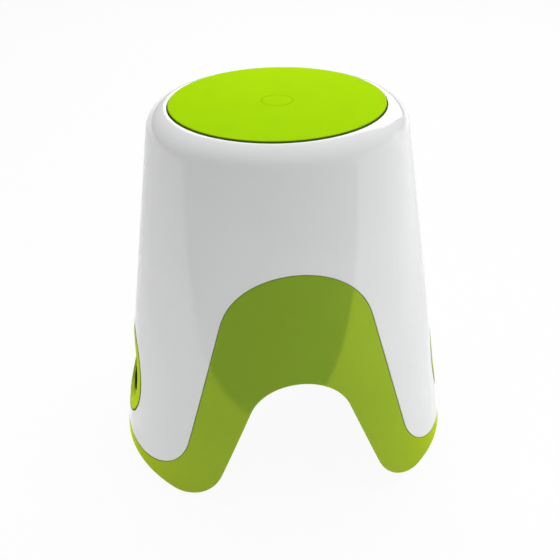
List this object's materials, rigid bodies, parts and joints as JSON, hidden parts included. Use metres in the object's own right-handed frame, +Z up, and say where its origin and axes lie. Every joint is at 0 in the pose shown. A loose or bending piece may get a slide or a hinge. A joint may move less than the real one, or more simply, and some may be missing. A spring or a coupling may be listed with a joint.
{
  "type": "plastic accent stool",
  "caption": "Bell-shaped plastic stool: white shell over a green inner body with arched front and back, side hand grips and an inlaid green seat disc.",
  "frame": {"origin": "on the floor under the middle of the seat disc, at the bottom centre of the bounding box", "axes": "+Z up through the middle of the seat; -Y towards the front arch; +X towards the right hand grip"},
  "size_m": [0.4162, 0.3671, 0.43],
  "materials": {
    "white_shell": "polished white moulding",
    "green_body": "polished lime green moulding",
    "green_seat": "satin lime green moulding",
    "green_liner": "polished lime green moulding",
    "screw_steel": "zinc-plated",
    "pad_rubber": "matt"
  },
  "bodies": {
    "root": {"outer_shell": "white_shell", "inner_body": "green_body", "seat_disc": "green_seat", "centre_cap": "green_seat", "seat_screw": "screw_steel", "shell_screws": "screw_steel", "grip_liner_right": "green_liner", "grip_liner_left": "green_liner", "foot_pad_front_right": "pad_rubber", "foot_pad_back_right": "pad_rubber", "foot_pad_back_left": "pad_rubber", "foot_pad_front_left": "pad_rubber"}
  },
  "joints": []
}
